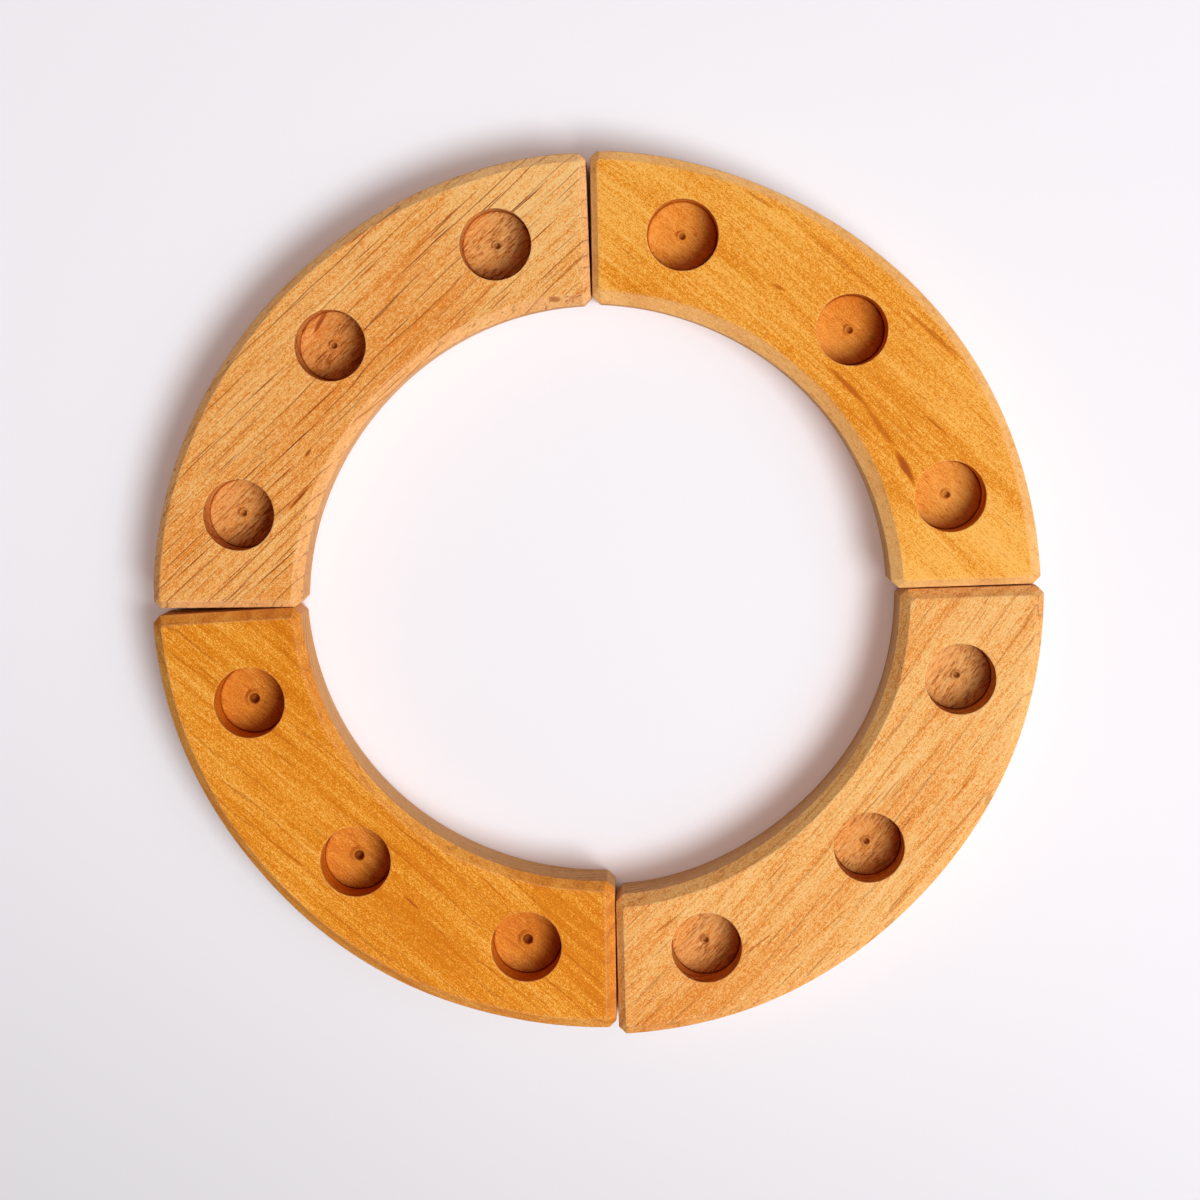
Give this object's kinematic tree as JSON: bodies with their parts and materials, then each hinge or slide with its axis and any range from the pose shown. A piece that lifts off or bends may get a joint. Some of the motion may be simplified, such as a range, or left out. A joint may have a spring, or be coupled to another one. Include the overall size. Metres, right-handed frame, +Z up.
{
  "type": "candle ring",
  "caption": "Flat wooden celebration ring made of loose quarter blocks with bevelled edges and blind round cups for candle holders or small figures.",
  "frame": {"origin": "middle of the laid ring's bounding box, on the surface the blocks stand on", "axes": "+Z up out of the cups; +X and +Y lie along the joints between the blocks, +Y towards the back pair"},
  "size_m": [0.227, 0.225, 0.021],
  "materials": {
    "tan_wood": "oiled satin, tan with thin dark growth lines",
    "amber_wood": "oiled satin, deeper orange with broad soft figure"
  },
  "bodies": {
    "quarter_back_left": {"quarter_back_left": "tan_wood"},
    "quarter_back_right": {"quarter_back_right": "amber_wood"},
    "quarter_front_left": {"quarter_front_left": "amber_wood"},
    "quarter_front_right": {"quarter_front_right": "tan_wood"}
  },
  "joints": [
    {"name": "back_right_slide", "type": "slide", "parent": "quarter_back_left", "child": "quarter_back_right", "axis": [0.7071, 0.7071, 0], "range_m": [0, 0.12]},
    {"name": "front_left_slide", "type": "slide", "parent": "quarter_back_left", "child": "quarter_front_left", "axis": [-0.7071, -0.7071, 0], "range_m": [0, 0.12]},
    {"name": "front_right_slide", "type": "slide", "parent": "quarter_back_left", "child": "quarter_front_right", "axis": [0.7071, -0.7071, 0], "range_m": [0, 0.12]}
  ]
}
